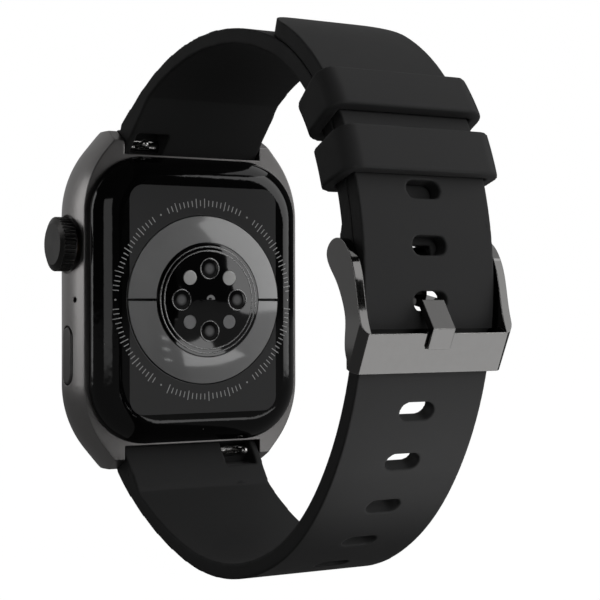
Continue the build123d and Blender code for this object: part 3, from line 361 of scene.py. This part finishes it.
# moulded silicone: the hard edges of the plain solid are eased as a mould would leave them
rubber = {
    "castMm": 0.18,
    "easeFactor": 0.5,
    "keepShare": 0.3,
    "strapMm": 2.0,
    "pullMm": 0.30,  # how near to a true face a point must lie to be moved onto it
    "pullFadeMm": 0.18,
    # the outer strap's bends in mm and degrees: (radius, turn), from the lower lug round to the tip
    "startMm": (-33.22, -24.9),
    "heading": -39.1,
    "bends": ((52.65, 24.94), (32.74, 65.17), (40.71, 64.88), (30.14, 47.18)),
    # piece: (node, body, slot, times its edges are eased, mm from the bends in to its outer face)
    "pieces": {
        "strapHoleSide": ("strap_hole_side", "case", "strap_silicone", 2, 0.0),
        "strapBuckleSide": ("strap_buckle_side", "case", "strap_silicone", 2, 2.15),
        "keeperFixed": ("fixed_keeper", "case", "keeper_silicone", 5, None),
        "keeperFree": ("free_keeper", "free_loop", "keeper_silicone", 5, None),
    },
}


def bendRun(values):
    # tangent arcs as (centre, radius, start angle, end angle), in mm and radians
    arcs = []
    spot = Vector(values["startMm"])
    angle = math.radians(values["heading"] - 90)
    for radius, turn in values["bends"]:
        centre = spot - radius * Vector((math.cos(angle), math.sin(angle)))
        after = angle + math.radians(turn)
        arcs.append((centre, radius, angle, after))
        spot = centre + radius * Vector((math.cos(after), math.sin(after)))
        angle = after
    return arcs


def trueCurve(mesh, values, depth):
    # the plain solid's curves are made of short flats: bring each face back to its bend
    faces = (depth, depth + values["strapMm"])
    arcs = bendRun(values)
    for corner in mesh.vertices:
        spot = Vector((corner.co.y, corner.co.z)) / mm
        for centre, radius, start, end in arcs:
            out = spot - centre
            angle = math.atan2(out.y, out.x)
            if angle < start or angle > end:
                continue
            for face in faces:
                gap = radius - face - out.length
                hold = min(1.0, max(0.0, (values["pullMm"] - abs(gap)) / values["pullFadeMm"]))
                if abs(gap) < values["pullMm"]:
                    moved = centre + out.normalized() * (out.length + gap * hold)
                    corner.co.y, corner.co.z = moved.x * mm, moved.y * mm
            break


def castRubber(values):
    for name, (node, body, slot, ease, depth) in values["pieces"].items():
        blank = bpy.data.objects.new(name + "Blank", cadNodes[node].data.copy())
        bpy.context.scene.collection.objects.link(blank)
        cast = blank.modifiers.new("cast", "REMESH")
        cast.mode = "VOXEL"
        cast.voxel_size = values["castMm"] * mm
        soften = blank.modifiers.new("soften", "SMOOTH")
        soften.factor = values["easeFactor"]
        soften.iterations = ease
        thin = blank.modifiers.new("thin", "DECIMATE")
        thin.ratio = values["keepShare"]
        mesh = settle(blank)
        mesh.name = name
        if depth is not None:
            trueCurve(mesh, values, depth)
        mesh.shade_smooth()
        addPiece(name, mesh, body, slot, node)
        print("cast", name, "with", len(mesh.polygons), "faces")


castRubber(rubber)

# lenses: a low dome with a dark rim and a paler sensor under the middle, in mm
lens = {
    "count": 4,
    "ring": 4.5,
    "radius": 1.38,
    "rim": -25.02,
    "crown": 0.06,
    "skirt": -0.2,
    "rings": 8,
    "spokes": 40,
    "sharpDegrees": 40,
    "ior": 1.6,
    "glow": (0.30, 0.30, 0.305),
    "dark": (0.008, 0.008, 0.008),
    "fade": (0.35, 1.0),
    "grainMm": 0.15,
    "grainInFade": 0.12,
    "roughness": 0.05,
    "grainInRoughness": 0.04,
}


def makeLensFinish(values):
    material = bpy.data.materials.new("lensDome")
    material.use_nodes = True
    tree = material.node_tree
    shader = tree.nodes["Principled BSDF"]
    shader.inputs["IOR"].default_value = values["ior"]
    coords = place(tree, "ShaderNodeTexCoord")
    reach = place(tree, "ShaderNodeVectorMath", operation="LENGTH")
    wire(tree, coords.outputs["Object"], reach.inputs[0])
    fade = place(tree, "ShaderNodeMapRange", interpolation_type="SMOOTHSTEP")
    near, far = values["fade"]
    for key, value in (("From Min", near * mm), ("From Max", far * mm), ("To Min", 0.0), ("To Max", 1.0)):
        fade.inputs[key].default_value = value
    wire(tree, reach.outputs["Value"], fade.inputs["Value"])
    grain = useGroup(tree, grainGroup, SizeMm=values["grainMm"]).outputs["Height"]
    spotted = calc(tree, "MULTIPLY_ADD", grain, values["grainInFade"], fade.outputs["Result"])
    colour = blendColour(tree, spotted, (*values["glow"], 1), (*values["dark"], 1))
    wire(tree, colour, shader.inputs["Base Color"])
    rough = calc(tree, "MULTIPLY_ADD", grain, values["grainInRoughness"], values["roughness"])
    wire(tree, rough, shader.inputs["Roughness"])
    return material


def makeLenses(values):
    finishes["lens_dome"] = makeLensFinish(values)
    rings, spokes = values["rings"], values["spokes"]
    rays = [(math.cos(2 * math.pi * k / spokes), math.sin(2 * math.pi * k / spokes)) for k in range(spokes)]
    for index in range(values["count"]):
        angle = math.radians(360 / values["count"] * index)
        mesh = bpy.data.meshes.new("lensDome%d" % (index + 1))
        shape = bmesh.new()
        loops = []
        for ring in range(1, rings + 1):
            share = ring / rings
            out = values["radius"] * share
            rise = values["crown"] * (1 - share ** 2)
            loops.append([shape.verts.new((out * x * mm, rise * mm, out * z * mm)) for x, z in rays])
        loops.append([shape.verts.new((v.co.x, values["skirt"] * mm, v.co.z)) for v in loops[-1]])
        shape.faces.new(loops[0])
        for low, high in zip(loops, loops[1:]):
            for k in range(spokes):
                shape.faces.new((low[k], low[(k + 1) % spokes], high[(k + 1) % spokes], high[k]))
        shape.faces.new(loops[-1][::-1])
        bmesh.ops.recalc_face_normals(shape, faces=shape.faces)
        shape.to_mesh(mesh)
        shape.free()
        mesh.shade_smooth()
        mesh.set_sharp_from_angle(angle=math.radians(values["sharpDegrees"]))
        piece = bpy.data.objects.new(mesh.name, mesh)
        bpy.context.scene.collection.objects.link(piece)
        across, up = values["ring"] * math.cos(angle), values["ring"] * math.sin(angle)
        piece.location = (across * mm, values["rim"] * mm, up * mm)
        mesh.materials.append(finishes["lens_dome"])
        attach(piece, "case")
        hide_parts("sensor_lenses")


makeLenses(lens)

# a printed ring of plain graduations round the sensor, laid on the cover, in mm
marks = {
    "inner": 13.35,
    "longTick": 1.35,
    "shortTick": 0.85,
    "tickWidth": 0.13,
    "dotRadius": 0.14,
    "dotCorners": 12,
    "count": 132,
    "longEvery": 5,
    "dotEvery": 22,
    "steps": 4,  # each tick follows the cover's dome in this many steps
    "castFrom": -15.0,
    "lift": 0.012,
    "colour": (0.75, 0.75, 0.75),
    "deepShare": 0.8,
}


def makeMarks(values):
    cover = cadNodes["rear_cover"]
    mesh = bpy.data.meshes.new("backMarks")
    shape = bmesh.new()

    def landed(x, z):
        start = Vector((x * mm, values["castFrom"] * mm, z * mm))
        spot, normal = cover.ray_cast(start, Vector((0, -1, 0)))[1:3]
        return spot + normal * values["lift"] * mm

    for tick in range(values["count"]):
        angle = math.radians(360 * tick / values["count"] + 90)
        along = Vector((math.cos(angle), math.sin(angle)))
        side = Vector((-along.y, along.x))
        middle = values["inner"] + values["longTick"] / 2
        fromDot = tick % values["dotEvery"] - values["dotEvery"] // 2
        if fromDot == 0:
            corners = values["dotCorners"]
            rim = [along * middle + (along * math.cos(a) + side * math.sin(a)) * values["dotRadius"]
                   for a in (2 * math.pi * k / corners for k in range(corners))]
            shape.faces.new([shape.verts.new(landed(*spot)) for spot in rim])
            continue
        if abs(fromDot) == 1:
            continue
        length = values["longTick"] if tick % values["longEvery"] == 0 else values["shortTick"]
        start = values["inner"] + (values["longTick"] - length) / 2
        before = None
        for step in range(values["steps"] + 1):
            reach = start + length * step / values["steps"]
            pair = [shape.verts.new(landed(*(along * reach + side * values["tickWidth"] / 2 * turn)))
                    for turn in (-1, 1)]
            if before:
                shape.faces.new((before[0], before[1], pair[1], pair[0]))
            before = pair
    bmesh.ops.recalc_face_normals(shape, faces=shape.faces)
    shape.to_mesh(mesh)
    shape.free()
    deepColour = tuple(values["deepShare"] * c for c in values["colour"])
    finishes["print"] = makeFinish("backPrint", {
        "colour": values["colour"], "deepColour": deepColour, "roughness": 0.45,
        "grainMm": 0.08, "bump": 0.1, "wearAndHighlight": 0.0})
    piece = bpy.data.objects.new("backMarks", mesh)
    bpy.context.scene.collection.objects.link(piece)
    mesh.materials.append(finishes["print"])
    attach(piece, "case")


makeMarks(marks)
print("lenses and back marks in place")


studio = {
    "surround": 0.016,
    "backdrop": 1.0,
    "floorHeight": -0.0366,
    "floorReach": 4.0,
    "floorSquares": 8,
    "floorShade": 0.03,
    "floorRoughness": 0.9,
    "floorSeenInGloss": 0.10,
    # name: (place, turn in degrees, size, glow, shows in gloss, lights matt surfaces)
    "lamps": {
        "keyBox": ((-0.4529, 0.2623, 0.1003), (79.25, -10.16, -120.56), (0.44, 0.664), 1.5, True, True),
        "crownStrip": ((0.50, 0.42, 0.0), (90.0, 0.0, 130.0), (0.36, 0.62), 0.75, True, False),
        "topBox": ((-0.31, 0.03, 0.50), (32.2, 0.0, -100.2), (0.50, 0.32), 0.8, True, False),
        "barrelStrip": ((0.50, -0.33, 0.0), (90.0, 0.0, 56.0), (0.16, 0.7), 1.5, True, False),
        "backBox": ((0.05, -0.80, 0.22), (74.0, 0.0, 0.0), (1.6, 1.4), 0.30, True, False),
        "floorCard": ((-0.030, 0.066, -0.0360), (180.0, 0.0, 0.0), (0.07, 0.09), 1.55, True, False),
        "frontFill": ((0.0, 0.9, 0.12), (82.6, 0.0, 180.0), (0.7, 0.7), 1.75, False, True),
    },
}


def makeWorld(values):
    world = bpy.data.worlds.new("studioWorld")
    world.use_nodes = True
    tree = world.node_tree
    tree.nodes.clear()
    around = place(tree, "ShaderNodeBackground")
    around.inputs["Strength"].default_value = values["surround"]
    backdrop = place(tree, "ShaderNodeBackground")
    backdrop.inputs["Strength"].default_value = values["backdrop"]
    for node in (around, backdrop):
        node.inputs["Color"].default_value = (1, 1, 1, 1)
    path = place(tree, "ShaderNodeLightPath")
    mix = place(tree, "ShaderNodeMixShader")
    output = place(tree, "ShaderNodeOutputWorld")
    wire(tree, path.outputs["Is Camera Ray"], mix.inputs[0])
    wire(tree, around.outputs[0], mix.inputs[1])
    wire(tree, backdrop.outputs[0], mix.inputs[2])
    wire(tree, mix.outputs[0], output.inputs[0])
    bpy.context.scene.world = world


def makeFloor(values):
    mesh = bpy.data.meshes.new("studioFloor")
    shape = bmesh.new()
    squares = values["floorSquares"]
    bmesh.ops.create_grid(shape, x_segments=squares, y_segments=squares, size=values["floorReach"])
    shape.to_mesh(mesh)
    shape.free()
    floor = bpy.data.objects.new("studioFloor", mesh)
    floor.location.z = values["floorHeight"]
    bpy.context.scene.collection.objects.link(floor)
    paint = bpy.data.materials.new("studioFloor")
    paint.use_nodes = True
    tree = paint.node_tree
    shader = tree.nodes["Principled BSDF"]
    shader.inputs["Base Color"].default_value = (*[values["floorShade"]] * 3, 1)
    shader.inputs["Roughness"].default_value = values["floorRoughness"]
    shader.inputs["Specular IOR Level"].default_value = 0.0
    shader.inputs["Emission Color"].default_value = (1, 1, 1, 1)
    path = place(tree, "ShaderNodeLightPath")
    # pale to the eye, dimmer in gloss, and it throws little light up under the strap
    gloss = calc(tree, "MULTIPLY", path.outputs["Is Glossy Ray"], values["floorSeenInGloss"])
    wire(tree, calc(tree, "ADD", path.outputs["Is Camera Ray"], gloss), shader.inputs["Emission Strength"])
    mesh.materials.append(paint)


def makeLamps(values):
    for name, (spot, turn, size, glow, inGloss, onMatt) in values["lamps"].items():
        lamp = bpy.data.lights.new(name, "AREA")
        lamp.shape = "RECTANGLE"
        lamp.size, lamp.size_y = size
        lamp.energy = glow * math.pi * size[0] * size[1]
        holder = bpy.data.objects.new(name, lamp)
        bpy.context.scene.collection.objects.link(holder)
        holder.location = spot
        holder.rotation_euler = [math.radians(angle) for angle in turn]
        holder.visible_camera = False
        holder.visible_glossy = inGloss
        holder.visible_diffuse = onMatt


makeWorld(studio)
makeFloor(studio)
makeLamps(studio)

cameraLook = {
    "place": (0.103497, 0.173916, -0.000908),
    "turnDegrees": (90.2204, 0.0841, 149.174),
    "lensMm": 93.006,
    "sensorMm": 36.0,
    "clip": (0.005, 20.0),
}


def makeCamera(values):
    optics = bpy.data.cameras.new("watchCamera")
    optics.lens = values["lensMm"]
    optics.sensor_width = values["sensorMm"]
    optics.clip_start, optics.clip_end = values["clip"]
    camera = bpy.data.objects.new("watchCamera", optics)
    camera.location = values["place"]
    camera.rotation_euler = [math.radians(a) for a in values["turnDegrees"]]
    bpy.context.scene.collection.objects.link(camera)
    bpy.context.scene.camera = camera


makeCamera(cameraLook)
bpy.context.scene.view_settings.view_transform = "Standard"
bpy.context.scene.view_settings.look = "None"
print("studio and camera ready")
